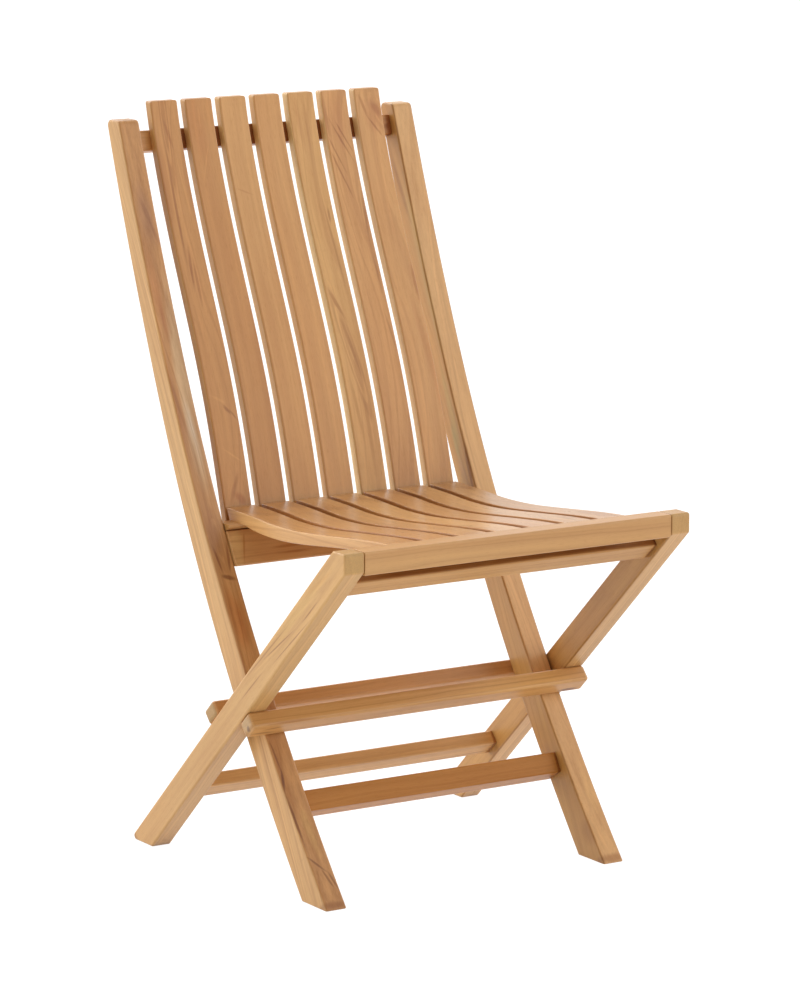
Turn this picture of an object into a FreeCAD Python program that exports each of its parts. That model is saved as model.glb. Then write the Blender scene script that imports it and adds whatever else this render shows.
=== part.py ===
import FreeCAD, Part
import math
import os

# Folding teak side chair, in millimetres.
# X is the width, the chair faces -Y, Z is up. The origin is on the floor under the middle of the chair.
# Side profiles are drawn as (forward, height) pairs and turned into the row frame by the function at().

# overall
origin_forward = 117.75       # forward distance of the origin from the side drawing's zero
seat_slat_count = 7
back_slat_count = 7

# back posts, which run on down as the front legs
post_outer_x = 209.1
post_width = 28.4
post_inner_x = post_outer_x - post_width
post_top = 872.5
post_axis = [(341.0, -50.0), (300.0, 0.0), (184.4, 153.0), (84.6, 306.0), (1.0, 459.0), (-67.4, 612.0),
             (-127.4, 765.0), (-169.9, 887.4), (-182.0, 925.0)]
post_depths = [45.8, 44.2, 41.8, 39.3, 36.0, 32.6, 30.6, 28.7, 28.0]

# rear legs, which run up and forward to the seat's front corners
leg_outer_x = 237.7
leg_width = 26.9
leg_inner_x = leg_outer_x - leg_width
leg_half_depth = 17.65
leg_lean = math.radians(47.36)   # from the vertical
leg_zero = (216.4, 255.0)        # point on the leg's centre line where "along" is zero
leg_front_plumb = 416.2          # the leg tops are cut plumb here, flush with the seat's front rail
leg_top = 438.6

# joints between the frames
cross_along = -85.5              # crossing pivot, measured along the leg
cross_pin_radius = 5.0
pin_inner_x = 190.0
pin_outer_x = 226.0
seat_pivot = (403.0, 424.3)      # forward and height of the seat's front pivot
seat_pin_radius = 4.0
running_clearance = 0.05
pin_end_gap = 0.5

# timber sections
edge_round = 2.5
board_round = 2.0
small_round = 1.5
slat_arris_round = 1.4
slat_corner_round = 3.0
foot_round = 1.2
shoulder_round = 0.8
post_top_round = 7.0
leg_top_round = 3.5
leg_heel_round = 5.0
bar_round = 3.4
bar_end_round = 5.0
tenon_length = 14.0
slat_width = 37.5
slat_pitch = 48.15
slat_thickness = 12.24
back_slat_rear = [(32.0, 330.0), (22.9, 365.0), (11.7, 408.0), (-11.3, 489.6), (-40.0, 571.2), (-75.1, 652.8),
                  (-111.4, 734.4), (-143.2, 816.0), (-165.4, 892.5), (-168.9, 910.0)]
back_slat_top = 893.4
back_slat_foot = 365.2
seat_slat_width = 38.8
seat_slat_pitch = 48.1
seat_slat_top = [(26.8, 422.0), (69.4, 421.5), (93.4, 420.7), (128.3, 419.2), (162.8, 419.3), (196.9, 420.8),
                 (241.7, 424.7), (287.6, 429.4), (320.8, 432.9), (353.9, 436.0), (390.7, 438.6)]
seat_slat_under = [(61.2, 407.8), (69.4, 406.5), (93.0, 403.6), (128.5, 402.1), (163.2, 403.1), (196.9, 405.9),
                   (241.7, 410.9), (287.6, 416.2), (320.8, 419.6), (353.9, 422.5), (390.7, 425.3)]
seat_slat_tail = (33.9, 407.8)   # lower end of the sloping cut at the slat's rear
rail_rear_face = 390.7           # rear face of the seat's front rail

screw_radius = 1.9
screw_head_radius = 4.0
dowel_radius = 3.0
dowel_shift = 6.0
dowel_in_leg = 12.0
dowel_in_bar = 11.0

os.makedirs("parts", exist_ok=True)


def at(forward, height, x=0.0):
    return FreeCAD.Vector(x, origin_forward - forward, height)


def on_leg(along, across):
    # along runs up the leg, across is positive toward its lower front face
    s, c = math.sin(leg_lean), math.cos(leg_lean)
    return (leg_zero[0] + along * s + across * c, leg_zero[1] + along * c - across * s)


def leg_box(along_low, along_high, across_low, across_high):
    return [on_leg(along_low, across_low), on_leg(along_high, across_low),
            on_leg(along_high, across_high), on_leg(along_low, across_high)]


def side_prism(outline, x_low, x_high):
    points = [at(s, z, x_low) for s, z in outline]
    wire = Part.makePolygon(points + [points[0]])
    return Part.Face(wire).extrude(FreeCAD.Vector(x_high - x_low, 0, 0))


def smooth_curve(outline, x):
    curve = Part.BSplineCurve()
    curve.interpolate([at(s, z, x) for s, z in outline])
    return curve.toShape()


def curved_prism(first_side, second_side, x_low, x_high, between=None):
    # first_side and second_side are smooth curves, joined at both ends by straight lines
    x = x_low
    edges = [smooth_curve(first_side, x)]
    chain = [first_side[-1]] + ([between] if between else []) + [second_side[0]]
    for a, b in zip(chain[:-1], chain[1:]):
        edges.append(Part.makeLine(at(*a, x), at(*b, x)))
    edges.append(smooth_curve(second_side, x))
    edges.append(Part.makeLine(at(*second_side[-1], x), at(*first_side[0], x)))
    wire = Part.Wire(Part.__sortEdges__(edges))
    return Part.Face(wire).extrude(FreeCAD.Vector(x_high - x_low, 0, 0))


def offset_side(outline, distance):
    # the points of a side curve, moved square to it
    moved = []
    for i, (s, z) in enumerate(outline):
        before = outline[max(i - 1, 0)]
        after = outline[min(i + 1, len(outline) - 1)]
        ds, dz = after[0] - before[0], after[1] - before[1]
        length = math.hypot(ds, dz)
        moved.append((s + distance * dz / length, z - distance * ds / length))
    return moved


def band(low, high):
    # level band used to cut a long piece off at the floor and at its top
    return Part.makeBox(1200, 1600, high - low, FreeCAD.Vector(-600, -800, low))


def round_edges(shape, radius, wanted=None):
    edges = [e for e in shape.Edges if wanted is None or wanted(e)]
    return shape.makeFillet(radius, edges)


def runs_across(edge):
    # true for an edge parallel to the chair's width
    box = edge.BoundBox
    return box.XLength > 1.0 and box.YLength < 0.01 and box.ZLength < 0.01


def cylinder_x(radius, s, z, x_low, x_high):
    return Part.makeCylinder(radius, x_high - x_low, at(s, z, x_low), FreeCAD.Vector(1, 0, 0))


def mirrored(shape):
    return shape.mirror(FreeCAD.Vector(0, 0, 0), FreeCAD.Vector(1, 0, 0))


def both_sides(shape):
    return [shape, mirrored(shape)]


def with_tenons(body, tenon_outline, shoulder_x):
    # a stub tenon at each end, let into the piece beside it
    tenon = side_prism(tenon_outline, shoulder_x - 2.0, shoulder_x + tenon_length)
    for piece in both_sides(tenon):
        body = body.fuse(piece)
    return body.removeSplitter()


def middle_outline(outline, share_long, share_short):
    # a smaller four-sided outline about the same middle
    cs = sum(p[0] for p in outline) / 4.0
    cz = sum(p[1] for p in outline) / 4.0
    a = ((outline[1][0] - outline[0][0]) / 2.0, (outline[1][1] - outline[0][1]) / 2.0)
    b = ((outline[3][0] - outline[0][0]) / 2.0, (outline[3][1] - outline[0][1]) / 2.0)
    result = []
    for i, j in ((-1, -1), (1, -1), (1, 1), (-1, 1)):
        result.append((cs + i * share_long * a[0] + j * share_short * b[0],
                       cz + i * share_long * a[1] + j * share_short * b[1]))
    return result


def save(name, shape):
    if isinstance(shape, list):
        shape = Part.makeCompound(shape)
    shape.exportStep("parts/" + name + ".step")


# Joinery between rails and uprights

def eased_rail(outline, half_length, radius=edge_round):
    body = side_prism(outline, -half_length, half_length)
    body = round_edges(body, radius, runs_across)
    return round_edges(body, shoulder_round, lambda e: not runs_across(e))


def screw(start, direction, length):
    # countersunk slotted screw, its head at start
    head = Part.makeCone(screw_head_radius, screw_radius, 2.4, start, direction)
    shank = Part.makeCylinder(screw_radius, length, start, direction)
    body = head.fuse(shank).removeSplitter()
    slot = Part.makeBox(1.0, 10.0, 1.0, FreeCAD.Vector(-0.5, -5.0, 0.0))
    turn = FreeCAD.Rotation(FreeCAD.Vector(0, 0, 1), direction)
    slot.Placement = FreeCAD.Placement(start, turn)
    return body, body.cut(slot)


# Back frame

def post_blank():
    axis = post_axis
    front = []
    rear = []
    for i, (s, z) in enumerate(axis):
        before = axis[max(i - 1, 0)]
        after = axis[min(i + 1, len(axis) - 1)]
        ds, dz = after[0] - before[0], after[1] - before[1]
        length = math.hypot(ds, dz)
        half = post_depths[i] / 2.0
        front.append((s + half * dz / length, z - half * ds / length))
        rear.append((s - half * dz / length, z + half * ds / length))
    body = curved_prism(front, rear[::-1], post_inner_x, post_outer_x).common(band(0.0, post_top))
    body = round_edges(body, post_top_round, lambda e: runs_across(e) and e.BoundBox.ZMax > post_top - 1)
    body = round_edges(body, edge_round, lambda e: not runs_across(e) and e.BoundBox.ZMax > 1)
    return round_edges(body, foot_round, lambda e: e.BoundBox.ZMax < 0.01)


def foot_stretcher_outline():
    return [(196.6, 102.4), (221.9, 117.7), (235.4, 95.4), (210.2, 80.2)]


def lower_board_outline():
    return [(29.2, 386.2), (55.4, 400.4), (79.2, 361.0), (38.6, 355.6)]


def top_rail_outline():
    return [(-149.2, 834.1), (-156.5, 858.7), (-172.5, 854.0), (-165.2, 829.4)]


def back_slat(index):
    centre = (index - (back_slat_count - 1) / 2.0) * slat_pitch
    rear = back_slat_rear
    front = offset_side(rear, slat_thickness)
    body = curved_prism(front, rear[::-1], centre - slat_width / 2.0, centre + slat_width / 2.0)
    body = body.common(band(back_slat_foot, back_slat_top))
    body = round_edges(body, slat_corner_round, lambda e: e.BoundBox.XLength < 0.01 and e.BoundBox.YLength > 1
                       and e.BoundBox.ZMin > back_slat_top - 5)
    return round_edges(body, slat_arris_round)


def back_screws(index):
    # one screw through the top rail from behind, and one through the slat's foot into the lower board
    centre = (index - (back_slat_count - 1) / 2.0) * slat_pitch
    upper = screw(at(-168.85, 841.7, centre), FreeCAD.Vector(0, -0.959, 0.283), 22.0)
    lower = screw(at(19.5, 377.5, centre), FreeCAD.Vector(0, -0.966, 0.259), 26.0)
    return [upper, lower]


posts = [post_blank()]
stretcher_outline = foot_stretcher_outline()
front_foot_stretcher = with_tenons(eased_rail(stretcher_outline, post_inner_x),
                                   middle_outline(stretcher_outline, 0.6, 0.45), post_inner_x)
board_outline = lower_board_outline()
back_lower_board = with_tenons(eased_rail(board_outline, post_inner_x, board_round),
                               middle_outline(board_outline, 0.4, 0.6), post_inner_x)
rail_outline = top_rail_outline()
back_top_rail = with_tenons(eased_rail(rail_outline, post_inner_x, board_round),
                            middle_outline(rail_outline, 0.6, 0.45), post_inner_x)
back_slats = [back_slat(i) for i in range(back_slat_count)]

back_screw_solids = []
for i in range(back_slat_count):
    for bore, body in back_screws(i):
        back_top_rail = back_top_rail.cut(bore)
        back_lower_board = back_lower_board.cut(bore)
        back_slats[i] = back_slats[i].cut(bore)
        back_screw_solids.append(body)
for slat in back_slats:
    back_top_rail = back_top_rail.cut(slat)
    back_lower_board = back_lower_board.cut(slat)

cross_point = on_leg(cross_along, 0.0)
cross_pin = cylinder_x(cross_pin_radius, cross_point[0], cross_point[1], pin_inner_x, pin_outer_x)
right_post = posts[0]
for rail in (front_foot_stretcher, back_lower_board, back_top_rail, cross_pin):
    right_post = right_post.cut(rail)

save("right_back_post", right_post)
save("left_back_post", mirrored(right_post))
save("front_foot_stretcher", front_foot_stretcher)
save("back_lower_board", back_lower_board)
save("back_top_rail", back_top_rail)
for i, slat in enumerate(back_slats):
    save("back_slat_" + str(i + 1), slat)
save("back_slat_screws", back_screw_solids)
save("crossing_pivot_pins", both_sides(cross_pin))


# Leg frame

def leg_blank():
    s, c = math.sin(leg_lean), math.cos(leg_lean)

    def level(height, across):
        along = (height - leg_zero[1] + across * s) / c
        return on_leg(along, across)

    def plumb(forward, across):
        along = (forward - leg_zero[0] - across * c) / s
        return on_leg(along, across)

    outline = [level(0.0, leg_half_depth), plumb(leg_front_plumb, leg_half_depth),
               (leg_front_plumb, leg_top), level(leg_top, -leg_half_depth), level(0.0, -leg_half_depth)]
    body = side_prism(outline, leg_inner_x, leg_outer_x)
    body = round_edges(body, leg_top_round, lambda e: runs_across(e) and e.BoundBox.ZMax > 400)
    body = round_edges(body, leg_heel_round, lambda e: runs_across(e) and e.BoundBox.ZMax < 1
                       and e.BoundBox.YMax > 190)
    return round_edges(body, edge_round, lambda e: not runs_across(e) or e.BoundBox.ZMax < 1)


def cross_bar(outline):
    # laid on the legs, the full width of the chair, its ends well rounded
    body = side_prism(outline, -leg_outer_x, leg_outer_x)
    body = round_edges(body, bar_end_round, lambda e: not runs_across(e))
    return round_edges(body, bar_round, runs_across)


def bar_dowels(along_middle, across_face):
    # two dowels side by side in each leg, square to the bar
    direction = at(*on_leg(0, 1)) - at(*on_leg(0, 0))
    sign = 1.0 if across_face > 0 else -1.0
    dowels = []
    for shift in (-dowel_shift, dowel_shift):
        start = on_leg(along_middle + shift, across_face - sign * dowel_in_leg)
        pin = Part.makeCylinder(dowel_radius, dowel_in_leg + dowel_in_bar,
                                at(start[0], start[1], leg_outer_x - leg_width / 2.0), direction * sign)
        dowels.extend(both_sides(pin))
    return dowels


front_bar_outline = leg_box(-66.1, -40.8, leg_half_depth, 38.2)
rear_bar_outline = leg_box(-129.5, -103.9, -37.4, -leg_half_depth)
top_bar_outline = leg_box(194.3, 222.9, -9.2, 11.2)
foot_bar_outline = leg_box(-261.9, -236.1, -10.2, 8.2)

front_cross_bar = cross_bar(front_bar_outline)
rear_cross_bar = cross_bar(rear_bar_outline)
leg_top_crossbar = with_tenons(eased_rail(top_bar_outline, leg_inner_x),
                               middle_outline(top_bar_outline, 0.7, 0.45), leg_inner_x)
rear_foot_stretcher = with_tenons(eased_rail(foot_bar_outline, leg_inner_x),
                                  middle_outline(foot_bar_outline, 0.6, 0.45), leg_inner_x)

dowel_solids = bar_dowels(-53.4, leg_half_depth) + bar_dowels(-116.7, -leg_half_depth)
for dowel in dowel_solids:
    front_cross_bar = front_cross_bar.cut(dowel)
    rear_cross_bar = rear_cross_bar.cut(dowel)

right_leg = leg_blank()
for piece in [leg_top_crossbar, rear_foot_stretcher] + dowel_solids:
    right_leg = right_leg.cut(piece)
cross_bore = cylinder_x(cross_pin_radius + running_clearance, cross_point[0], cross_point[1],
                        leg_inner_x - 5.0, pin_outer_x + pin_end_gap)
seat_bore = cylinder_x(seat_pin_radius + running_clearance, seat_pivot[0], seat_pivot[1],
                       leg_inner_x - 5.0, pin_outer_x + pin_end_gap)
right_leg = right_leg.cut(cross_bore).cut(seat_bore)

save("right_rear_leg", right_leg)
save("left_rear_leg", mirrored(right_leg))
save("front_cross_bar", front_cross_bar)
save("rear_cross_bar", rear_cross_bar)
save("leg_top_crossbar", leg_top_crossbar)
save("rear_foot_stretcher", rear_foot_stretcher)
save("cross_bar_dowels", dowel_solids)


# Seat

rail_half_length = leg_inner_x - 0.4
rear_rail_half_length = post_inner_x - 0.8


def seat_front_rail_blank():
    outline = [(rail_rear_face, 411.3), (leg_front_plumb, 411.3), (leg_front_plumb, leg_top),
               (rail_rear_face, leg_top)]
    body = side_prism(outline, -rail_half_length, rail_half_length)
    body = round_edges(body, edge_round, lambda e: runs_across(e) and not (e.BoundBox.ZMax > leg_top - 1
                                                        and e.BoundBox.YMax > origin_forward - 395))
    return round_edges(body, shoulder_round, lambda e: not runs_across(e))


def seat_rear_rail_blank():
    outline = [(33.9, 407.8), (59.7, 407.8), (59.7, 404.7), (44.4, 395.8), (41.0, 395.8)]
    body = side_prism(outline, -rear_rail_half_length, rear_rail_half_length)
    return round_edges(body, 1.0, lambda e: runs_across(e) and e.BoundBox.ZMax < 400)


def seat_slat(index):
    centre = (index - (seat_slat_count - 1) / 2.0) * seat_slat_pitch
    x_low = centre - seat_slat_width / 2.0
    x_high = centre + seat_slat_width / 2.0
    body = curved_prism(seat_slat_top[::-1], seat_slat_under, x_low, x_high, seat_slat_tail)
    body = round_edges(body, small_round, lambda e: e.BoundBox.XLength < 0.01
                       and e.BoundBox.YLength > 20 and e.BoundBox.ZMax > 425)
    tongue = [(rail_rear_face - 1.0, 435.0), (rail_rear_face + 10.0, 435.0),
              (rail_rear_face + 10.0, 427.5), (rail_rear_face - 1.0, 427.5)]
    tongue_solid = side_prism(tongue, x_low + 5.0, x_high - 5.0)
    return body.fuse(tongue_solid).removeSplitter()


def seat_screw(index):
    centre = (index - (seat_slat_count - 1) / 2.0) * seat_slat_pitch
    return screw(at(48.5, 400.4, centre), FreeCAD.Vector(0, 0, 1), 15.0)


def counterbore(index):
    centre = (index - (seat_slat_count - 1) / 2.0) * seat_slat_pitch
    return Part.makeCylinder(screw_head_radius + 0.2, 9.0, at(48.5, 391.4, centre), FreeCAD.Vector(0, 0, 1))


seat_front_rail = seat_front_rail_blank()
seat_rear_rail = seat_rear_rail_blank()
seat_slats = [seat_slat(i) for i in range(seat_slat_count)]
seat_screw_solids = []
for i, slat in enumerate(seat_slats):
    bore, body = seat_screw(i)
    seat_front_rail = seat_front_rail.cut(slat)
    seat_rear_rail = seat_rear_rail.cut(counterbore(i)).cut(bore)
    seat_slats[i] = slat.cut(bore)
    seat_screw_solids.append(body)
seat_pin = cylinder_x(seat_pin_radius, seat_pivot[0], seat_pivot[1], pin_inner_x, pin_outer_x)
for pin in both_sides(seat_pin):
    seat_front_rail = seat_front_rail.cut(pin)

save("seat_front_rail", seat_front_rail)
save("seat_rear_rail", seat_rear_rail)
for i, slat in enumerate(seat_slats):
    save("seat_slat_" + str(i + 1), slat)
save("seat_slat_screws", seat_screw_solids)
save("seat_pivot_pins", both_sides(seat_pin))
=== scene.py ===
import math
import bpy
from mathutils import Matrix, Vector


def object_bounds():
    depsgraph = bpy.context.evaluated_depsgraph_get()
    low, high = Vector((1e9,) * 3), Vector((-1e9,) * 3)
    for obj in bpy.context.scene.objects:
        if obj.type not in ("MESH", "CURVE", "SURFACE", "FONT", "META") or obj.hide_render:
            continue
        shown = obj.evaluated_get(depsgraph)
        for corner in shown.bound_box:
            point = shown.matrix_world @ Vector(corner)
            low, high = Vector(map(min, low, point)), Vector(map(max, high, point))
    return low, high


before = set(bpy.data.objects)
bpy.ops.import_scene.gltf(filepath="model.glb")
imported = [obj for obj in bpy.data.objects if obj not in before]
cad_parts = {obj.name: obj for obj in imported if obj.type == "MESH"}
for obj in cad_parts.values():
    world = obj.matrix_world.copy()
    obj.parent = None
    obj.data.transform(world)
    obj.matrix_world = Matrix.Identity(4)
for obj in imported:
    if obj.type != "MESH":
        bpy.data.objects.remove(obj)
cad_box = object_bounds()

scene = bpy.context.scene
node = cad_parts


# Camera
# Stands in front of the chair and to the left as the picture shows it, higher than the back. It looks down
# a little through a long lens; its place and turns are fitted to the picture's perspective.
camera_place = (-2.8776, -4.6039, 1.4554)
camera_tilt = math.radians(79.3)
camera_heading = math.radians(-32.22)
focal_length = 165.97
sensor_height = 36.0
farthest_seen = 60.0
lens_view = bpy.data.cameras.new("front_view")
lens_view.sensor_fit = "VERTICAL"
lens_view.sensor_height = sensor_height
lens_view.lens = focal_length
lens_view.clip_end = farthest_seen
camera = bpy.data.objects.new("front_view", lens_view)
camera.location = camera_place
camera.rotation_euler = (camera_tilt, 0.0, camera_heading)
scene.collection.objects.link(camera)
scene.camera = camera
scene.view_settings.view_transform = "Standard"


# Studio
# A plain white floor in an even white surround, under three broad softboxes: on the left and a little
# behind, on the right and a little in front, and high behind. The floor keeps a faint shadow.
white = (1.0, 1.0, 1.0)
surround_colour = (1.0, 0.99, 0.975)
surround_light = 0.45
seen_surround = 1.0
floor_size = 80.0
floor_paint = (0.9, 0.9, 0.9)
floor_rough = 0.9
floor_gloss = 0.1
seen_floor = 1.25
floor_share = 0.24
softbox_width = math.radians(60.0)


def feed(tree, socket, value):
    # gives a socket another node's output, a colour or a plain value
    if hasattr(value, "links"):
        tree.links.new(value, socket)
    elif socket.type == "RGBA":
        socket.default_value = (*value, 1.0)
    else:
        socket.default_value = value


def math_step(tree, operation, *values):
    step = tree.nodes.new("ShaderNodeMath")
    step.operation = operation
    for socket, value in zip(step.inputs, values):
        feed(tree, socket, value)
    return step.outputs[0]


def see_white(tree, shader, kind, strength, keep):
    # what the camera and reflections see is mostly plain white; keep is the share that stays as lit
    path = tree.nodes.new("ShaderNodeLightPath")
    rays = path.outputs["Is Camera Ray"]
    for ray in ("Is Glossy Ray", "Is Transmission Ray"):
        rays = math_step(tree, "MAXIMUM", rays, path.outputs[ray])
    share = math_step(tree, "MULTIPLY", rays, 1.0 - keep)
    plain_white = tree.nodes.new(kind)
    feed(tree, plain_white.inputs["Color"], white)
    feed(tree, plain_white.inputs["Strength"], strength)
    mix = tree.nodes.new("ShaderNodeMixShader")
    for socket, value in zip(mix.inputs, (share, shader.outputs[0], plain_white.outputs[0])):
        feed(tree, socket, value)
    return mix


world = bpy.data.worlds.new("white_surround")
scene.world = world
world.use_nodes = True
surround = world.node_tree.nodes["Background"]
feed(world.node_tree, surround.inputs["Color"], surround_colour)
feed(world.node_tree, surround.inputs["Strength"], surround_light)
sky = see_white(world.node_tree, surround, "ShaderNodeBackground", seen_surround, 0.0)
world.node_tree.links.new(sky.outputs[0], world.node_tree.nodes["World Output"].inputs["Surface"])

bpy.ops.mesh.primitive_plane_add(size=floor_size, location=(0.0, 0.0, 0.0))
floor = bpy.context.object
floor.name = "studio_floor"
sweep = bpy.data.materials.new("white_sweep")
sweep.use_nodes = True
paint = sweep.node_tree.nodes["Principled BSDF"]
feed(sweep.node_tree, paint.inputs["Base Color"], floor_paint)
feed(sweep.node_tree, paint.inputs["Roughness"], floor_rough)
feed(sweep.node_tree, paint.inputs["Specular IOR Level"], floor_gloss)
seen = see_white(sweep.node_tree, paint, "ShaderNodeEmission", seen_floor, floor_share)
sweep.node_tree.links.new(seen.outputs[0], sweep.node_tree.nodes["Material Output"].inputs["Surface"])
floor.data.materials.append(sweep)


def softbox(name, azimuth, height, strength, warmth):
    # azimuth is degrees round from the chair's front toward its -X side, height is degrees up
    data = bpy.data.lights.new(name, "SUN")
    data.energy = strength
    data.angle = softbox_width
    data.color = warmth
    lamp = bpy.data.objects.new(name, data)
    around, up = math.radians(azimuth), math.radians(height)
    toward = Vector((-math.sin(around) * math.cos(up), -math.cos(around) * math.cos(up), math.sin(up)))
    lamp.rotation_euler = toward.to_track_quat("Z", "Y").to_euler()
    scene.collection.objects.link(lamp)


softbox("left_softbox", 120.0, 14.0, 1.55, (1.0, 0.99, 0.975))
softbox("right_softbox", 300.0, 14.0, 1.4, (1.0, 0.99, 0.98))
softbox("top_softbox", 180.0, 45.0, 2.1, (1.0, 0.99, 0.985))


# Back posts
# Each stile is sawn in one sweep from a teak board and runs on down as a front leg. It is sanded and left
# bare, with its arrises eased. The grain is straight, so its streaks run off the curved edges.
honey = (0.65, 0.338, 0.12)
mean_tone = (0.93, 0.93, 0.93)
pale_end = (1.16, 1.19, 1.22)
deep_end = (0.84, 0.77, 0.68)
ring_tint = (0.66, 0.52, 0.4)
warm_tint = (1.0, 0.94, 0.86)
pore_tint = (0.7, 0.6, 0.5)
arris_shade_tint = (0.62, 0.5, 0.38)
worn_tint = (1.1, 1.12, 1.16)
end_cover = 0.8

# the seed's step through the wood, and where the slow fields start so that they don't lie on one another
seed_step = (0.37, 0.61, 1.7)
drift_start = (5.2, 1.1, 0.7)
warmth_start = (3.1, 1.7, 0.4)
wave_scale = (16.0, 16.0, 3.4)

# lengths in metres: how far the rings wander along the grain, the spacing of the fine rings, of the broad
# bands and of the groups that the fine rings show in, the width of an eased arris and the pores' depth
ring_wander = 0.022
close_rings = 0.0034
band_spacing = 0.011
group_spacing = 0.019
arris_width = 0.0018
pore_depth = 0.00012


def vector_step(tree, operation, *vectors):
    step = tree.nodes.new("ShaderNodeVectorMath")
    step.operation = operation
    for socket, vector in zip(step.inputs, vectors):
        feed(tree, socket, vector)
    return step.outputs["Value"]


def ramp(tree, factor, stops, smooth=False):
    # each stop is a place along the ramp with its grey level or its colour
    made = tree.nodes.new("ShaderNodeValToRGB")
    made.color_ramp.interpolation = "EASE" if smooth else "LINEAR"
    elements = made.color_ramp.elements
    while len(elements) < len(stops):
        elements.new(0.5)
    for element, (position, colour) in zip(elements, stops):
        element.position = position
        element.color = (colour, colour, colour, 1.0) if isinstance(colour, float) else (*colour, 1.0)
    tree.links.new(factor, made.inputs[0])
    return made.outputs[0]


def blend_colour(tree, mode, share, first, second):
    made = tree.nodes.new("ShaderNodeMix")
    made.data_type = "RGBA"
    made.blend_type = mode
    for slot, value in ((0, share), (6, first), (7, second)):
        feed(tree, made.inputs[slot], value)
    return made.outputs[2]


def tinted(tree, share, colour, tint):
    # the colour times the tint where share is 1, and as it was where share is 0
    return blend_colour(tree, "MULTIPLY", share, colour, tint)


def stained(wood, stain):
    return tuple(tone * share for tone, share in zip(wood, stain))


def mapped(tree, source, location=(0, 0, 0), rotation=(0, 0, 0), scale=(1, 1, 1), kind="POINT"):
    made = tree.nodes.new("ShaderNodeMapping")
    made.vector_type = kind
    made.inputs["Location"].default_value = location
    made.inputs["Rotation"].default_value = rotation
    made.inputs["Scale"].default_value = scale
    tree.links.new(source, made.inputs["Vector"])
    return made.outputs[0]


def noise(tree, source, scale, detail=2.0, roughness=0.5):
    made = tree.nodes.new("ShaderNodeTexNoise")
    made.inputs["Scale"].default_value = scale
    made.inputs["Detail"].default_value = detail
    made.inputs["Roughness"].default_value = roughness
    tree.links.new(source, made.inputs["Vector"])
    return made.outputs[0]


def layers(tree, distance, spacing, detail):
    # uneven bands, one after another, at the given mean spacing
    made = tree.nodes.new("ShaderNodeTexNoise")
    made.noise_dimensions = "1D"
    made.inputs["Scale"].default_value = 1.0
    made.inputs["Detail"].default_value = detail
    made.inputs["Roughness"].default_value = 0.5
    tree.links.new(math_step(tree, "DIVIDE", distance, spacing), made.inputs["W"])
    return made.outputs[0]


def swayed(tree, field, amount, onto):
    # adds a noise field, taken either side of its mean of a half
    return math_step(tree, "MULTIPLY_ADD", math_step(tree, "SUBTRACT", field, 0.5), amount, onto)


def grain_turn(lean):
    # turns the chair's axes so that the grain runs along Z; lean is degrees back from the vertical,
    # or None for a rail that runs across the chair
    if lean is None:
        return (0.0, math.radians(-90.0), 0.0)
    return (math.radians(lean), 0.0, 0.0)


def grain_axis(lean):
    # the way that the grain runs, in the chair's axes
    if lean is None:
        return (1.0, 0.0, 0.0)
    return (0.0, math.sin(math.radians(lean)), math.cos(math.radians(lean)))


def mark(at, half, tint, amount=0.9, turn=0.0, roll=0.0):
    # a spot or line of its own tint: at is its middle, and half its half sizes across, through and along
    # the board, in metres; turn swings it off the grain on the board's face, and roll on its edge, both in
    # degrees
    return {"at": at, "half": half, "tint": tint, "amount": amount, "turn": turn, "roll": roll}


def swirl(at, half, amount, spacing=0.4, turn=0.0, roll=0.0):
    # lines nested round a spot, as where a ring is cut flat; spacing is a share of the spot's half sizes
    return {"at": at, "half": half, "amount": amount, "spacing": spacing, "turn": turn, "roll": roll}


def nearness(tree, coords, lean, spot):
    # distance from a spot's middle, in units of its own half sizes
    turn = math.radians(spot["turn"])
    if lean is None:
        axes = Matrix.Rotation(math.radians(90.0) + turn, 3, "Y")
    else:
        slope = math.radians(-lean - spot["roll"])
        axes = Matrix.Rotation(slope, 3, "X") @ Matrix.Rotation(turn, 3, "Y")
    local = mapped(tree, coords, spot["at"], axes.to_euler("XYZ"), spot["half"], "TEXTURE")
    return vector_step(tree, "LENGTH", local)


def grain_fields(tree, along, seed):
    # noises drawn out along the grain, each with its stretch, its scale in waves to a metre, its detail and
    # its roughness; the seed moves the board to another stretch of the same wood
    moved = mapped(tree, along, location=[seed * step for step in seed_step])

    def drawn_out(stretch, scale, detail, roughness, start=(0.0, 0.0, 0.0)):
        stretched = mapped(tree, moved, start, scale=(1.0, 1.0, stretch))
        return noise(tree, stretched, scale, detail, roughness)

    return {
        "wave": noise(tree, mapped(tree, moved, scale=wave_scale), 1.0, 2.0, 0.45),
        "fibre": drawn_out(0.022, 620.0, 3.0, 0.6),
        "fine": drawn_out(0.04, 1900.0, 2.0, 0.6),
        "pores": ramp(tree, drawn_out(0.07, 1300.0, 1.0, 0.4), [(0.58, 0.0), (0.68, 1.0)]),
        "streak": drawn_out(0.03, 130.0, 2.0, 0.55),
        "drift": drawn_out(0.13, 26.0, 1.0, 0.5, drift_start),
        "warmth": drawn_out(0.2, 17.0, 1.0, 0.5, warmth_start),
        "speck": noise(tree, moved, 1100.0, 2.0, 0.6),
    }


def growth_rings(tree, along, wave, heart, tilt, spacing):
    # broad bands, and groups of thin lines, round the log's heart
    from_heart = mapped(tree, along, (-heart[0], -heart[1], 0.0), (tilt[0], tilt[1], 0.0))
    radius = vector_step(tree, "LENGTH", mapped(tree, from_heart, scale=(1.0, 1.0, 0.0)))
    distance = math_step(tree, "MULTIPLY_ADD", wave, ring_wander, radius)
    bands = layers(tree, distance, band_spacing, 1.0)
    lines = ramp(tree, layers(tree, distance, spacing, 1.0), [(0.5, 0.0), (0.66, 1.0)], smooth=True)
    groups = layers(tree, distance, group_spacing, 0.0)
    shown = ramp(tree, groups, [(0.36, 0.25), (0.62, 1.0)], smooth=True)
    return bands, math_step(tree, "MULTIPLY", lines, shown)


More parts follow.
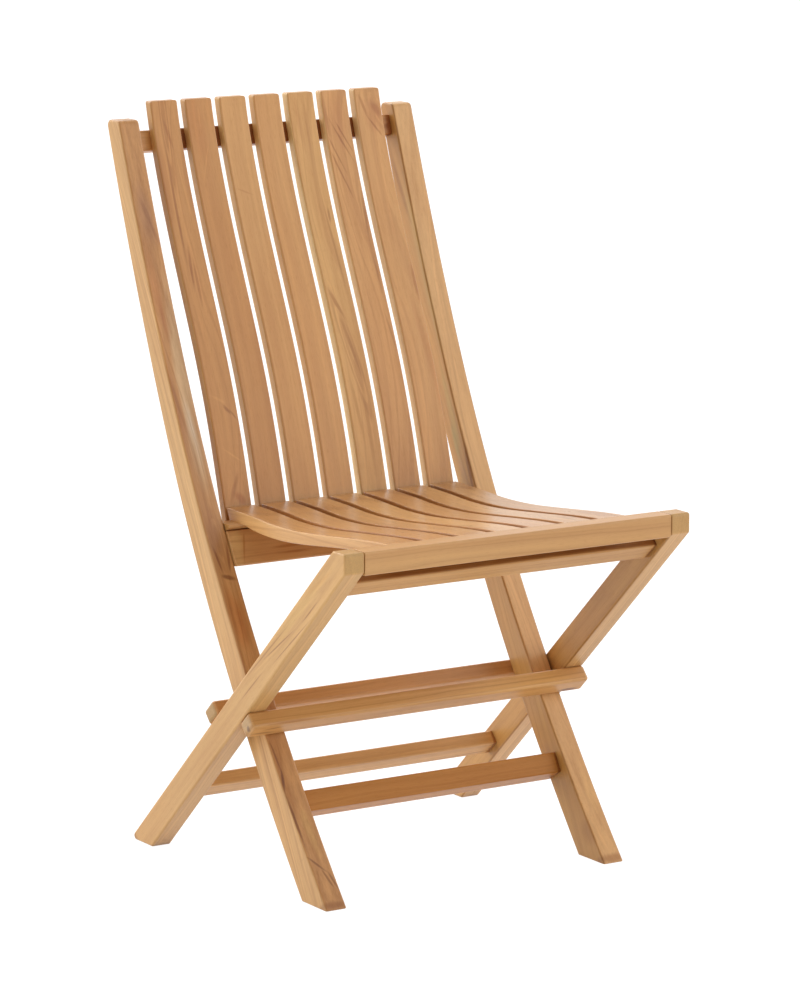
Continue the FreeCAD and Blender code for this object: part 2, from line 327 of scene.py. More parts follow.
def board_tone(tree, grain, wood, bands, streaks, drifts):
    # the wood runs from paler to deeper in bands, streaks and fibres, with a slow drift
    shade = swayed(tree, bands, 0.55, 0.5)
    shade = swayed(tree, grain["streak"], 0.75 * streaks, shade)
    shade = swayed(tree, grain["fibre"], 0.35 * streaks, shade)
    shade = swayed(tree, grain["drift"], drifts, shade)
    tones = [(0.1, stained(mean_tone, pale_end)), (0.5, mean_tone), (0.9, stained(mean_tone, deep_end))]
    return tinted(tree, 1.0, ramp(tree, shade, tones), wood)


def nested_lines(tree, coords, lean, wave, spot):
    near = swayed(tree, wave, 0.5, nearness(tree, coords, lean, spot))
    lines = ramp(tree, layers(tree, near, spot["spacing"], 1.0), [(0.48, 0.0), (0.62, 1.0)], smooth=True)
    shown = ramp(tree, near, [(0.7, spot["amount"]), (1.1, 0.0)], smooth=True)
    return math_step(tree, "MULTIPLY", lines, shown)


def side_faces_and_arris_shade(tree, colour, across, drift, side_tint_and_light, arris_shade):
    # across is how far the surface faces sideways; side tints paint shade or light on most boards, and the
    # brown arris line is painted shade
    if side_tint_and_light:
        sideways = ramp(tree, across, [(0.45, 0.0), (0.75, 1.0)], smooth=True)
        colour = tinted(tree, sideways, colour, side_tint_and_light)
    if arris_shade:
        band = ramp(tree, across, [(0.2, 0.0), (0.5, 1.0), (0.75, 1.0), (0.95, 0.0)], smooth=True)
        band = math_step(tree, "MULTIPLY", band, ramp(tree, drift, [(0.3, 0.5), (0.6, 1.0)]))
        colour = tinted(tree, math_step(tree, "MULTIPLY", band, arris_shade), colour, arris_shade_tint)
    return colour


def end_grain(tree, colour, normal, lean, wood, end_tint, speck):
    # specks in place of streaks where the board is cut across the grain
    facing = math_step(tree, "ABSOLUTE", vector_step(tree, "DOT_PRODUCT", normal, grain_axis(lean)))
    specks = ramp(tree, speck, [(0.35, 0.82), (0.65, 1.08)])
    cut = tinted(tree, 1.0, tinted(tree, 1.0, wood, end_tint), specks)
    share = ramp(tree, facing, [(0.55, 0.0), (0.8, 1.0)], smooth=True)
    return blend_colour(tree, "MIX", math_step(tree, "MULTIPLY", share, end_cover), colour, cut)


def marked(tree, colour, coords, lean, grain, spot):
    ragged = swayed(tree, grain["wave"], 0.6, nearness(tree, coords, lean, spot))
    ragged = swayed(tree, grain["streak"], 0.9, ragged)
    inside = ramp(tree, ragged, [(0.3, spot["amount"]), (1.0, 0.0)], smooth=True)
    return tinted(tree, inside, colour, spot["tint"])


def worn_arrises(tree, drift):
    # where the sanded arrises show, in patches, from how far a rounder edge would turn the surface there
    bevel = tree.nodes.new("ShaderNodeBevel")
    bevel.samples = 4
    bevel.inputs["Radius"].default_value = arris_width
    geometry = tree.nodes.new("ShaderNodeNewGeometry")
    same = vector_step(tree, "DOT_PRODUCT", bevel.outputs[0], geometry.outputs["Normal"])
    arris = ramp(tree, same, [(0.9, 1.0), (0.995, 0.0)], smooth=True)
    return math_step(tree, "MULTIPLY", arris, math_step(tree, "ADD", drift, 0.1))


def sanded_surface(tree, shader, grain, worn, rough, relief, gloss):
    # rougher in the pores, smoother on the worn arrises, with the fibres and pores just felt
    roughness = math_step(tree, "MULTIPLY_ADD", grain["fibre"], 0.16, rough - 0.08)
    roughness = math_step(tree, "MULTIPLY_ADD", grain["pores"], 0.1, roughness)
    roughness = math_step(tree, "MULTIPLY_ADD", worn, -0.08, roughness)
    tree.links.new(roughness, shader.inputs["Roughness"])
    shader.inputs["Specular IOR Level"].default_value = gloss
    shader.inputs["Sheen Weight"].default_value = 0.03
    shader.inputs["Sheen Roughness"].default_value = 0.5
    fibres = math_step(tree, "MULTIPLY", grain["fibre"], 0.45)
    height = math_step(tree, "MULTIPLY_ADD", grain["fine"], 0.3, fibres)
    height = math_step(tree, "MULTIPLY_ADD", grain["pores"], -0.6, height)
    bump = tree.nodes.new("ShaderNodeBump")
    bump.inputs["Strength"].default_value = relief
    bump.inputs["Distance"].default_value = pore_depth
    tree.links.new(height, bump.inputs["Height"])
    tree.links.new(bump.outputs[0], shader.inputs["Normal"])


def teak(name, lean, stain, seed, heart, tilt=(0.0, 0.0), figure=0.3, rings=close_rings, swirls=(),
         marks=(), side_tint_and_light=None, arris_shade=0.0, end_tint=(0.86, 0.87, 0.78), streaks=1.0, drifts=0.5,
         rough=0.38, relief=0.22, gloss=0.5):
    # stain: the board's own share of the honey tone. heart: where the log's heart lies beside the board,
    # across and through it, in metres, and tilt how far the heart runs off the grain, in radians.
    # figure: how dark the rings are, and rings their spacing. The side tint: the side faces, mostly
    # darkened as painted shade or lightened as painted light; end_tint: the end grain. The arris line: how
    # dark its painted shade is.
    # rough, relief and gloss: the sanded surface.
    made = bpy.data.materials.new(name)
    made.use_nodes = True
    tree = made.node_tree
    shader = tree.nodes["Principled BSDF"]
    source = tree.nodes.new("ShaderNodeTexCoord")
    coords, normal = source.outputs["Object"], source.outputs["Normal"]
    wood = stained(honey, stain)
    along = mapped(tree, coords, rotation=grain_turn(lean))
    grain = grain_fields(tree, along, seed)

    bands, lines = growth_rings(tree, along, grain["wave"], heart, tilt, rings)
    colour = board_tone(tree, grain, wood, bands, streaks, drifts)
    dark_lines = math_step(tree, "MULTIPLY", lines, figure)
    for spot in swirls:
        nested = nested_lines(tree, coords, lean, grain["wave"], spot)
        dark_lines = math_step(tree, "MAXIMUM", dark_lines, nested)
    colour = tinted(tree, dark_lines, colour, ring_tint)
    warm = ramp(tree, grain["warmth"], [(0.4, 0.0), (0.68, 1.0)], smooth=True)
    colour = tinted(tree, math_step(tree, "MULTIPLY", warm, 0.5), colour, warm_tint)
    colour = tinted(tree, math_step(tree, "MULTIPLY", grain["pores"], 0.22), colour, pore_tint)

    sides = tree.nodes.new("ShaderNodeSeparateXYZ")
    tree.links.new(normal, sides.inputs[0])
    across = math_step(tree, "ABSOLUTE", sides.outputs["X"])
    colour = side_faces_and_arris_shade(tree, colour, across, grain["drift"], side_tint_and_light, arris_shade)
    colour = end_grain(tree, colour, normal, lean, wood, end_tint, grain["speck"])
    for spot in marks:
        colour = marked(tree, colour, coords, lean, grain, spot)

    worn = worn_arrises(tree, grain["drift"])
    colour = tinted(tree, math_step(tree, "MULTIPLY", worn, 0.5), colour, worn_tint)
    tree.links.new(colour, shader.inputs["Base Color"])
    sanded_surface(tree, shader, grain, worn, rough, relief, gloss)
    return made


def finish(name, material):
    piece = node[name]
    piece.data.materials.clear()
    piece.data.materials.append(material)


# tints of the marks: thin ring lines, brown and red heartwood, grey and pale sapwood, and scuffs; the scuff
# tint also paints the shade on the seat slots' sides
dark = (0.6, 0.46, 0.36)
umber = (0.45, 0.33, 0.25)
brown = (0.84, 0.74, 0.66)
red = (0.92, 0.76, 0.64)
sap = (1.14, 1.5, 2.3)
pale = (1.1, 1.14, 1.16)
scuff = (0.66, 0.54, 0.42)

# half depths of the marks: one that goes right through a post, and one that stays in a side face's skin
post_depth = 0.03
skin = 0.004
post_lean = 27.9
foot_scuff = (0.03, post_depth, 0.0075)
left_post_marks = [
    # grey sapwood down the inner half, a purple patch above it, brown heart beside it
    mark((-0.1889, 0.15, 0.578), (0.012, post_depth, 0.14), sap, 0.95, turn=1.0, roll=-2.0),
    mark((-0.1925, 0.112, 0.49), (0.012, post_depth, 0.07), sap, 0.65),
    mark((-0.1943, 0.227, 0.761), (0.011, post_depth, 0.05), (0.8, 0.78, 0.9), 1.0, turn=-2.0, roll=-4.0),
    mark((-0.193, 0.2285, 0.764), (0.0035, post_depth, 0.02), (0.78, 0.7, 0.68), turn=-14.0, roll=-4.0),
    mark((-0.1865, 0.218, 0.74), (0.003, post_depth, 0.02), (0.8, 0.72, 0.7), 0.8, turn=-16.0, roll=-4.0),
    mark((-0.201, 0.19, 0.68), (0.008, post_depth, 0.07), red, 0.6, turn=-2.0, roll=-3.0),
    mark((-0.198, 0.175, 0.64), (0.004, post_depth, 0.04), (0.86, 0.7, 0.6), 0.7, turn=-2.0, roll=-3.0),
    mark((-0.204, 0.13, 0.53), (0.004, post_depth, 0.1), brown, turn=-1.0, roll=-1.0),
    # red and brown heart below the seat, with a short cross mark under two dark lines
    mark((-0.198, 0.06, 0.4), (0.012, post_depth, 0.06), brown, 0.6),
    mark((-0.199, 0.01, 0.305), (0.011, post_depth, 0.05), red, turn=-3.0),
    mark((-0.1935, 0.036, 0.35), (0.004, post_depth, 0.012), umber, turn=-70.0),
    mark((-0.2015, 0.048, 0.372), (0.0024, post_depth, 0.028), dark, turn=-8.0),
    mark((-0.1865, 0.048, 0.372), (0.0024, post_depth, 0.026), dark, 0.8, turn=8.0),
    mark((-0.19, 0.01, 0.3), (0.008, post_depth, 0.045), (0.86, 0.72, 0.58), turn=2.0),
    # a dark wavy line in a brown band down the foot, forked near the floor, and a scuff at the floor
    mark((-0.201, -0.06, 0.2), (0.005, post_depth, 0.04), (0.78, 0.66, 0.54), 0.8, turn=2.0),
    mark((-0.203, -0.11, 0.13), (0.006, post_depth, 0.07), (0.82, 0.72, 0.6), roll=3.0),
    mark((-0.193, -0.15, 0.08), (0.008, post_depth, 0.04), (1.04, 1.14, 1.1), turn=-2.0, roll=5.0),
    mark((-0.195, -0.2, 0.001), foot_scuff, scuff, roll=8.0),
    mark((-0.2042, -0.0876, 0.1598), (0.002, post_depth, 0.032), umber, 0.7, turn=-3.0, roll=2.0),
    mark((-0.2051, -0.1071, 0.1328), (0.0026, post_depth, 0.019), umber, turn=10.0, roll=3.0),
    mark((-0.2065, -0.1373, 0.0928), (0.0023, post_depth, 0.052), umber, 1.0, turn=-1.0, roll=4.0),
    mark((-0.2, -0.172, 0.048), (0.0022, post_depth, 0.018), umber, 0.8, turn=-40.0, roll=6.0),
    mark((-0.1912, -0.1858, 0.0308), (0.0019, post_depth, 0.017), umber, 0.7, turn=-16.0, roll=8.0),
    mark((-0.185, -0.1878, 0.0279), (0.0021, post_depth, 0.017), umber, 0.7, turn=-14.0, roll=8.0),
]
left_post_swirl = swirl((-0.194, 0.056, 0.392), (0.0125, post_depth, 0.06), 0.35)
finish("left_back_post", teak("post_teak_left", post_lean, (0.85, 0.78, 0.72), seed=1.3,
                              heart=(-0.36, 0.09), tilt=(0.01, 0.0), figure=0.4, swirls=[left_post_swirl],
                              marks=left_post_marks, side_tint_and_light=(1.07, 1.26, 1.38), streaks=2.2))

inner_face = 0.1807
right_post_marks = [
    # scuffed brown at the foot, pale patches above it
    mark((0.195, -0.2, 0.001), foot_scuff, scuff, roll=8.0),
    mark((inner_face, -0.175, 0.033), (skin, 0.02, 0.022), (0.82, 0.76, 0.68), roll=20.0),
    mark((0.2, -0.15, 0.07), (0.01, post_depth, 0.04), (1.1, 1.14, 1.12), roll=6.0),
    mark((inner_face, -0.06, 0.18), (skin, 0.01, 0.06), (1.04, 1.06, 0.98)),
    # greyish streaks down the inner face, painted shade beside the seat, and a pale front above it
    mark((inner_face, 0.2477, 0.7687), (skin, 0.0055, 0.065), (0.78, 0.7, 0.62), roll=2.0),
    mark((inner_face, 0.2124, 0.7146), (skin, 0.0095, 0.08), (1.1, 1.26, 1.45), 0.95, roll=-2.0),
    mark((inner_face, 0.1782, 0.6309), (skin, 0.008, 0.1), (1.02, 1.16, 1.3), roll=-3.0),
    mark((inner_face, 0.13, 0.5), (skin, 0.0085, 0.08), (0.88, 1.0, 1.02), 1.0, roll=-4.0),
    mark((inner_face, 0.1199, 0.4672), (skin, 0.0075, 0.03), (0.85, 1.02, 1.1), 1.0, roll=-6.0),
    mark((inner_face, 0.1049, 0.4349), (skin, 0.007, 0.022), (1.0, 1.0, 1.22), roll=8.0),
    mark((inner_face, 0.09, 0.44), (skin, 0.005, 0.042), (0.66, 0.56, 0.45), 1.0, roll=-7.0),
    mark((0.199, 0.12, 0.49), (0.014, post_depth, 0.13), (1.12, 1.14, 1.16)),
]
# its inner side is darkened as painted shade, and a brown line of painted shade runs down its inner front
# arris
finish("right_back_post", teak("post_teak_right", post_lean, (1.12, 1.19, 1.3), seed=4.1,
                               heart=(0.42, 0.02), tilt=(0.008, 0.0), figure=0.2,
                               marks=right_post_marks, side_tint_and_light=(0.69, 0.65, 0.45), arris_shade=0.9,
                               streaks=1.1))


# Back slats
# Seven narrow boards sawn to a lumbar curve, let into the rails and screwed from behind. The plain ones
# are sawn on the quarter; the first and the last three are flat sawn, so their rings show.
slat_lean = 19.6
slat_pitch = 0.04815
middle_slat = 4
slat_depth = 0.02
wide_rings = 0.0052
heart_beside = (0.042, 0.004)
heart_far_off = (0.3, 0.0)
first_slat_seed = 7.0
slat_seed_step = 2.3
slat_tilt = 0.02
slat_fan = 0.004
# painted light on the slats' left side faces, paler where light from behind falls through the gaps: faint
# on slats 2 to 4, strong on the last three
painted_backlight_faint = (0.98, 1.14, 1.25)
painted_backlight_strong = (1.08, 1.4, 1.9)

# the brown line of painted shade inside a slat's left arris: how far it is from the slat's middle, and
# its half sizes, of which only the width is less than the slat's
arris_beside = 0.0172
slat_middle_y = 0.15
slat_middle_z = 0.63
arris_half = (0.0013, 5.0, 5.0)
slat_arris_shade_tint = (0.78, 0.7, 0.6)
tawny = (0.78, 0.68, 0.58)
deep_tawny = (0.74, 0.62, 0.52)
blush = (0.9, 0.84, 0.8)
fawn = (0.84, 0.78, 0.7)
deep_fawn = (0.8, 0.72, 0.64)
slant_line = (0.7, 0.57, 0.46)


def back_slat(number, stain, figure, side_tint_and_light, flat_sawn=False, marks=(), swirls=()):
    # number counts from the left post
    place = number - middle_slat
    middle = place * slat_pitch
    heart = heart_beside if flat_sawn else heart_far_off
    # the brown line of painted shade inside the slat's left arris
    arris = mark((middle - arris_beside, slat_middle_y, slat_middle_z), arris_half, slat_arris_shade_tint)
    finish("back_slat_%d" % number,
           teak("slat_teak_%d" % number, slat_lean, stain,
                seed=first_slat_seed + (number - 1) * slat_seed_step,
                heart=(middle + heart[0], heart[1]), tilt=(slat_tilt, slat_fan * place), figure=figure,
                rings=wide_rings if flat_sawn else close_rings, swirls=swirls, marks=[*marks, arris],
                side_tint_and_light=side_tint_and_light, streaks=1.0 if flat_sawn else 0.6, drifts=0.5 if flat_sawn else 0.7))


back_slat(1, (0.91, 0.81, 0.67), 0.42, (0.86, 0.95, 0.93), flat_sawn=True, marks=[
    # a long dark tongue from the top, a small swirl, pale scratches, and a red knot at the foot
    mark((-0.1515, 0.2238, 0.7591), (0.0024, slat_depth, 0.1), (0.7, 0.58, 0.48), turn=1.0),
    mark((-0.1482, 0.2, 0.6987), (0.0028, slat_depth, 0.034), (0.7, 0.56, 0.45), turn=4.0),
    mark((-0.144, 0.1919, 0.6805), (0.0024, slat_depth, 0.038), deep_tawny, turn=1.0),
    mark((-0.144, 0.2599, 0.8533), (0.0028, slat_depth, 0.028), (0.82, 0.72, 0.64), turn=-13.0),
    mark((-0.136, 0.2405, 0.7988), (0.0016, slat_depth, 0.07), pale, turn=-4.0),
    mark((-0.159, 0.24, 0.7969), (0.006, slat_depth, 0.07), (0.86, 0.78, 0.72), roll=-4.0),
    mark((-0.139, 0.1304, 0.5328), (0.0034, slat_depth, 0.01), dark, 0.8, turn=-36.0),
    mark((-0.1319, 0.1285, 0.5263), (0.002, slat_depth, 0.014), dark, 0.6, turn=-33.0),
    mark((-0.1499, 0.1353, 0.5465), (0.0026, slat_depth, 0.014), pale, turn=-60.0),
    mark((-0.1417, 0.1134, 0.4801), (0.0018, slat_depth, 0.022), pale, 1.0, turn=-53.0),
    mark((-0.1461, 0.1027, 0.4425), (0.004, slat_depth, 0.026), tawny, turn=23.0),
    mark((-0.14, 0.0992, 0.4297), (0.007, slat_depth, 0.014), (0.8, 0.62, 0.48), turn=-40.0),
], swirls=[swirl((-0.147, 0.268, 0.878), (0.013, slat_depth, 0.235), 0.5, spacing=0.22)])
back_slat(2, (0.92, 0.82, 0.68), 0.15, painted_backlight_faint, marks=[
    # redder at the top, with two pale scratches of grain
    mark((-0.1021, 0.2599, 0.8558), (0.014, slat_depth, 0.06), (0.94, 0.86, 0.8), 0.8, turn=-7.0),
    mark((-0.0979, 0.2657, 0.8733), (0.0016, slat_depth, 0.016), pale, turn=-1.0),
    mark((-0.0974, 0.2491, 0.8199), (0.0016, slat_depth, 0.03), pale, 1.0, turn=18.0),
])
back_slat(3, (1.05, 1.03, 0.97), 0.12, painted_backlight_faint, marks=[
    # a wisp of cross grain
    mark((-0.0525, 0.2348, 0.7806), (0.0016, slat_depth, 0.015), brown, 0.6, turn=-66.0),
])
back_slat(4, (1.02, 0.97, 0.88), 0.12, painted_backlight_faint)
back_slat(5, (1.1, 1.14, 1.06), 0.3, painted_backlight_strong, flat_sawn=True, marks=[
    # brown bands at the top and a long dark lens lower down
    mark((0.0415, 0.2603, 0.8568), (0.005, slat_depth, 0.045), blush, turn=-4.0),
    mark((0.0518, 0.2573, 0.8472), (0.0026, slat_depth, 0.05), blush),
    mark((0.0595, 0.2206, 0.7457), (0.002, slat_depth, 0.012), dark, 0.7, turn=1.0),
    mark((0.0575, 0.2058, 0.7128), (0.002, slat_depth, 0.075), (0.82, 0.74, 0.66), turn=-3.0),
    mark((0.0425, 0.1744, 0.6414), (0.0028, slat_depth, 0.028), tawny, turn=-22.0),
    mark((0.0496, 0.1546, 0.5944), (0.0036, slat_depth, 0.055), tawny, turn=-10.0),
    mark((0.0416, 0.1256, 0.5166), (0.003, slat_depth, 0.05), fawn, turn=-4.0),
    mark((0.0534, 0.118, 0.4919), (0.0034, slat_depth, 0.065), fawn),
], swirls=[swirl((0.048, 0.15, 0.585), (0.01, slat_depth, 0.11), 0.4, turn=-8.0)])
back_slat(6, (1.04, 0.99, 0.92), 0.42, painted_backlight_strong, flat_sawn=True, marks=[
    # slanting dark lines at the top, a dark edge lower down
    mark((0.0813, 0.2617, 0.8606), (0.0036, slat_depth, 0.036), deep_tawny, turn=-2.0),
    mark((0.0968, 0.254, 0.835), (0.002, slat_depth, 0.04), (0.68, 0.55, 0.44), turn=-25.0),
    mark((0.102, 0.2553, 0.8383), (0.0018, slat_depth, 0.03), slant_line, turn=-25.0),
    mark((0.0876, 0.2484, 0.818), (0.0018, slat_depth, 0.034), slant_line, turn=-20.0),
    mark((0.0893, 0.2395, 0.794), (0.002, slat_depth, 0.042), slant_line, turn=-18.0),
    mark((0.096, 0.26, 0.856), (0.02, slat_depth, 0.045), (0.95, 0.88, 0.86), 0.8),
    mark((0.1111, 0.2161, 0.7359), (0.0036, slat_depth, 0.045), (0.76, 0.66, 0.56), turn=4.0),
    mark((0.11, 0.1888, 0.6737), (0.0026, slat_depth, 0.045), deep_fawn, turn=-2.0),
    mark((0.1107, 0.1575, 0.6014), (0.0022, slat_depth, 0.036), deep_fawn, turn=-7.0),
], swirls=[swirl((0.113, 0.214, 0.733), (0.011, slat_depth, 0.12), 0.3)])
back_slat(7, (1.05, 1.02, 0.97), 0.3, painted_backlight_strong, flat_sawn=True, marks=[
    # curved lines round a dark knot at the top corner, redder low on the right
    mark((0.1363, 0.2659, 0.874), (0.0026, slat_depth, 0.022), (0.76, 0.64, 0.54), turn=-18.0),
    mark((0.1486, 0.2586, 0.8484), (0.002, slat_depth, 0.02), (0.72, 0.58, 0.48), turn=-34.0),
    mark((0.154, 0.2645, 0.869), (0.007, slat_depth, 0.016), (0.78, 0.64, 0.56), turn=-30.0),
    mark((0.15, 0.262, 0.862), (0.016, slat_depth, 0.03), (0.92, 0.84, 0.8)),
    mark((0.161, 0.1827, 0.66), (0.0036, slat_depth, 0.032), (0.78, 0.66, 0.56)),
    mark((0.1579, 0.145, 0.57), (0.006, slat_depth, 0.1), (0.92, 0.84, 0.78), turn=-5.0),
], swirls=[swirl((0.157, 0.2645, 0.868), (0.016, slat_depth, 0.05), 0.25, turn=-24.0)])


# Back rails
# The top rail runs behind the slats between the posts. The lower board takes the slats' feet and the
# seat's rear. Both are tenoned into the posts, as is the front stretcher low between the front legs.
rail_front = 0.2695
rail_height = 0.845
rail_reach = 0.06
# the painted shade behind the slat gaps: its half depth through the rail, its tint, and its offset from
# each gap's middle
gap_shade_depth = 0.011
gap_shade_tint = (0.38, 0.22, 0.08)
gap_shade_beside = 0.003375
slat_gaps = 6
amber = (0.78, 0.64, 0.5)
shoulder = 0.04
top_rail_marks = [
    # painted shade, red-brown, at the two ends, beside the first slat and the right post
    mark((-0.16, rail_front, rail_height), (rail_reach, gap_shade_depth, 0.008), (0.8, 0.64, 0.45)),
    mark((0.1805, rail_front, rail_height), (rail_reach, gap_shade_depth, 0.012), (0.45, 0.26, 0.1), 1.0),
]
for gap in range(slat_gaps):
    # painted shade on the rail behind each gap between the slats, a little to the right of its middle
    gap_middle = (gap - (slat_gaps - 1) / 2) * slat_pitch
    top_rail_marks.append(mark((gap_middle + gap_shade_beside, rail_front, rail_height),
                               (rail_reach, gap_shade_depth, 0.022), gap_shade_tint, 1.0))
finish("back_top_rail", teak("top_rail_teak", None, (1.02, 0.95, 0.85), seed=30.0, heart=(0.8, 0.3),
                             marks=top_rail_marks))
lower_board_marks = [
    # a pale band of painted light with a dark line in it near the left post, and two upright lines
    mark((-0.173, 0.05, 0.38), (0.05, 0.05, 0.012), (1.1, 1.24, 1.3), turn=10.0),
    mark((-0.164, 0.05, 0.38), (0.03, 0.05, 0.0022), amber, turn=18.0),
    mark((-0.105, 0.048, 0.377), (0.003, 0.05, 0.035), amber),
    mark((-0.098, 0.044, 0.37), (0.0024, 0.05, 0.04), amber),
]
finish("back_lower_board", teak("lower_board_teak", None, (0.96, 0.93, 0.92), seed=33.0,
                                heart=(0.57, 0.06), marks=lower_board_marks, streaks=1.2))
front_stretcher_marks = [
    # brown at its right shoulder
    mark((0.1785, -0.105, 0.099), (shoulder, shoulder, 0.0028), umber, 0.8, turn=4.0),
]
finish("front_foot_stretcher", teak("front_stretcher_teak", None, (0.83, 0.67, 0.41), seed=36.0,
                                    heart=(0.3, -0.06), marks=front_stretcher_marks, streaks=0.5,
                                    gloss=0.2))


# Rear legs
# Straight teak legs, each with its top cut plumb and flush with the seat's front rail, so that the cut
# shows greenish end grain. The seat turns on blind pins near their tops.
leg_lean = -47.36
outer_face = float(cad_box[0][0])
leg_line = (0.6, 0.48, 0.38)
left_leg_marks = [
    # a scuff at the floor, fine dark lines up the outer face, and a brown and a pale stretch near the top
    mark((-0.225, 0.19, 0.001), (0.03, 0.03, 0.006), scuff),
    mark((outer_face, -0.0912, 0.2474), (skin, 0.0014, 0.045), scuff, roll=-2.0),
    mark((outer_face, -0.1271, 0.2958), (skin, 0.0015, 0.09), (0.68, 0.56, 0.45), 0.8, roll=-3.0),
    mark((outer_face, -0.1597, 0.3125), (skin, 0.0012, 0.06), (0.58, 0.46, 0.36), roll=-8.0),
    mark((outer_face, -0.1775, 0.3134), (skin, 0.0012, 0.07), leg_line, roll=-4.0),
    mark((outer_face, -0.2225, 0.3591), (skin, 0.0013, 0.032), leg_line, roll=-1.0),
    mark((outer_face, -0.2357, 0.3916), (skin, 0.004, 0.05), (0.97, 0.9, 0.8), roll=-9.0),
    mark((outer_face, -0.2, 0.36), (skin, 0.009, 0.11), (1.03, 1.08, 1.02)),
]
left_leg_swirl = swirl((outer_face, -0.17, 0.325), (0.02, 0.012, 0.2), 0.2, roll=-4.0)
finish("left_rear_leg", teak("leg_teak_left", leg_lean, (0.94, 1.03, 1.03), seed=41.0, heart=(-0.5, 0.05),
                             swirls=[left_leg_swirl], marks=left_leg_marks, streaks=0.9))
# its inner side is darkened as painted shade, and a brown line of painted shade runs down its inner arris
finish("right_rear_leg", teak("leg_teak_right", leg_lean, (0.97, 1.03, 1.03), seed=45.0, heart=(0.5, 0.08),
                              side_tint_and_light=(0.82, 0.78, 0.62), arris_shade=0.8, streaks=1.3, drifts=0.8))


# Leg rails
# Two bars laid on the legs and held by dowels trap the back frame. A crossbar joins the leg tops and a
# stretcher their feet, both tenoned in.
bar_depth = 0.02
bar_edge_depth = 0.01
whole_bar = 6.0
front_bar_marks = [
    # brown lines near the left leg and along the bar, one at its right end, and a pale stretch
    mark((-0.1827, -0.0934, 0.1991), (0.0022, bar_depth, 0.055), (0.72, 0.6, 0.5)),
    mark((0.0451, -0.0833, 0.2113), (0.0022, bar_depth, 0.17), (0.84, 0.77, 0.68), 0.7, turn=0.6),
    mark((0.215, -0.0798, 0.1857), (0.0036, bar_edge_depth, 0.018), (0.42, 0.3, 0.22), 1.0),
    mark((0.13, -0.085, 0.204), (0.02, bar_depth, 0.11), (1.18, 1.24, 1.24)),
    # greyish end grain with a small dark knot on the left, its lower edge ragged
    mark((outer_face, -0.077, 0.201), (0.016, 0.016, 0.005), (1.0, 1.2, 1.6), 1.0),
    mark((outer_face, -0.083, 0.195), (0.005, 0.0042, 0.006), (0.5, 0.45, 0.48), 1.0),
    mark((-0.215, -0.085, 0.1868), (0.002, bar_edge_depth, 0.026), (0.5, 0.38, 0.28), turn=2.0),
    mark((-0.205, -0.09, 0.1925), (0.0016, bar_edge_depth, 0.02), (0.6, 0.46, 0.34), turn=-4.0),
]
finish("front_cross_bar", teak("front_bar_teak", None, (0.96, 0.95, 0.85), seed=50.0, heart=(0.2, -0.29),
                               figure=0.35, marks=front_bar_marks, end_tint=(0.69, 0.69, 0.72)))
finish("rear_cross_bar", teak("rear_bar_teak", None, (0.955, 0.915, 0.87), seed=53.0, heart=(0.25, 0.2),
                              end_tint=(0.6, 0.73, 0.73)))
crossbar_marks = [
    # painted shade in a strip where it faces the seat rail, and brown at its right shoulder
    mark((0.0, -0.268, 0.406), (0.0115, 0.02, whole_bar), (0.46, 0.34, 0.23), 1.0),
    mark((0.0, -0.269, 0.4), (0.0036, 0.015, whole_bar), (0.8, 0.7, 0.58), 1.0),
    mark((0.2095, -0.262, 0.395), (shoulder, shoulder, 0.0034), umber, turn=6.0),
]
finish("leg_top_crossbar", teak("crossbar_teak", None, (0.92, 0.92, 0.84), seed=56.0, heart=(0.45, -0.3),
                                marks=crossbar_marks, gloss=0.3))
rear_stretcher_marks = [
    # brown at its right shoulder
    mark((0.2088, 0.079, 0.087), (shoulder, shoulder, 0.0038), (0.55, 0.38, 0.27), turn=6.0),
]
finish("rear_foot_stretcher", teak("rear_stretcher_teak", None, (0.97, 1.02, 0.99), seed=59.0,
                                   heart=(0.1, 0.3), figure=0.7, marks=rear_stretcher_marks, streaks=1.3))
finish("cross_bar_dowels", teak("dowel_wood", None, (0.95, 1.0, 1.0), seed=62.0, heart=(0.2, 0.2)))
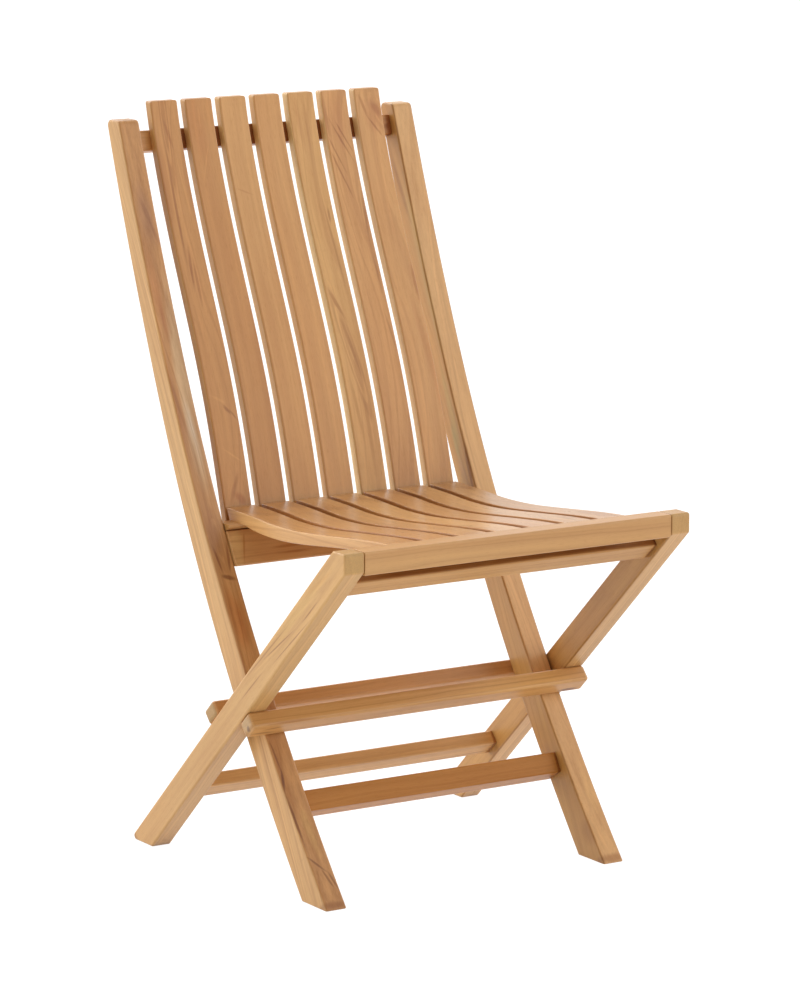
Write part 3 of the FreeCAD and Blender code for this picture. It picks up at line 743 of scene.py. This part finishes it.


# Seat
# Seven dished slats are tongued into the front rail and screwed to a rear rail from below. The slats' sides
# in the slots between them are darkened as painted shade, and the first slat's outer edge is lit as painted
# light.
seat_lean = -87.3
seat_pitch = 0.048
seat_middle = 3
heart_below = -0.55
heart_spread = 0.01
seat_tilt = (0.015, 0.0)
first_seat_seed = 70.0
seat_seed_step = 2.9
# painted light on the first slat's outer edge, and painted shade on the other slats' sides in the slots
painted_lit_edge = (1.14, 1.3, 1.55)
painted_slot_shade = scuff
seat_stains = [(0.97, 0.94, 0.88), (0.96, 0.93, 0.93), (1.02, 1.04, 1.08), (1.09, 1.14, 1.18),
               (1.01, 1.0, 1.01), (1.06, 1.1, 1.14), (0.97, 1.01, 1.12)]
finish("seat_front_rail", teak("seat_front_rail_teak", None, (0.98, 1.01, 1.03), seed=65.0,
                               heart=(0.6, -0.33), figure=0.2, streaks=0.6))
finish("seat_rear_rail", teak("seat_rear_rail_teak", None, (0.9, 0.88, 0.8), seed=68.0, heart=(0.6, 0.1)))
for index, stain in enumerate(seat_stains):
    heart_x = (index - seat_middle) * seat_pitch + heart_spread * (index % 3 - 1)
    finish("seat_slat_%d" % (index + 1),
           teak("seat_teak_%d" % (index + 1), seat_lean, stain,
                seed=first_seat_seed + index * seat_seed_step, heart=(heart_x, heart_below),
                tilt=seat_tilt, figure=0.4, side_tint_and_light=painted_slot_shade if index else painted_lit_edge, streaks=1.4,
                rough=0.3, relief=0.07))


# Pins and screws
# Turned brass pins carry the crossing and the seat's front pivot, and slotted brass screws hold the
# slats. All are dulled by the weather.
bright_brass = (0.58, 0.41, 0.17)
dull_brass = (0.36, 0.25, 0.12)
tool_mark_depth = 0.0001


def brass(name, seed):
    made = bpy.data.materials.new(name)
    made.use_nodes = True
    tree = made.node_tree
    shader = tree.nodes["Principled BSDF"]
    coords = tree.nodes.new("ShaderNodeTexCoord").outputs["Object"]
    tarnish = noise(tree, mapped(tree, coords, location=(seed, 0.0, 0.0)), 260.0, 4.0, 0.6)
    colour = ramp(tree, tarnish, [(0.35, bright_brass), (0.65, dull_brass)])
    tree.links.new(colour, shader.inputs["Base Color"])
    tree.links.new(math_step(tree, "MULTIPLY_ADD", tarnish, 0.3, 0.2), shader.inputs["Roughness"])
    shader.inputs["Metallic"].default_value = 1.0
    tool_marks = tree.nodes.new("ShaderNodeBump")
    tool_marks.inputs["Strength"].default_value = 0.2
    tool_marks.inputs["Distance"].default_value = tool_mark_depth
    tree.links.new(noise(tree, coords, 1800.0, 2.0), tool_marks.inputs["Height"])
    tree.links.new(tool_marks.outputs[0], shader.inputs["Normal"])
    return made


screw_brass = brass("screw_brass", 2.0)
pin_brass = brass("pin_brass", 5.0)
finish("back_slat_screws", screw_brass)
finish("seat_slat_screws", screw_brass)
finish("crossing_pivot_pins", pin_brass)
finish("seat_pivot_pins", pin_brass)
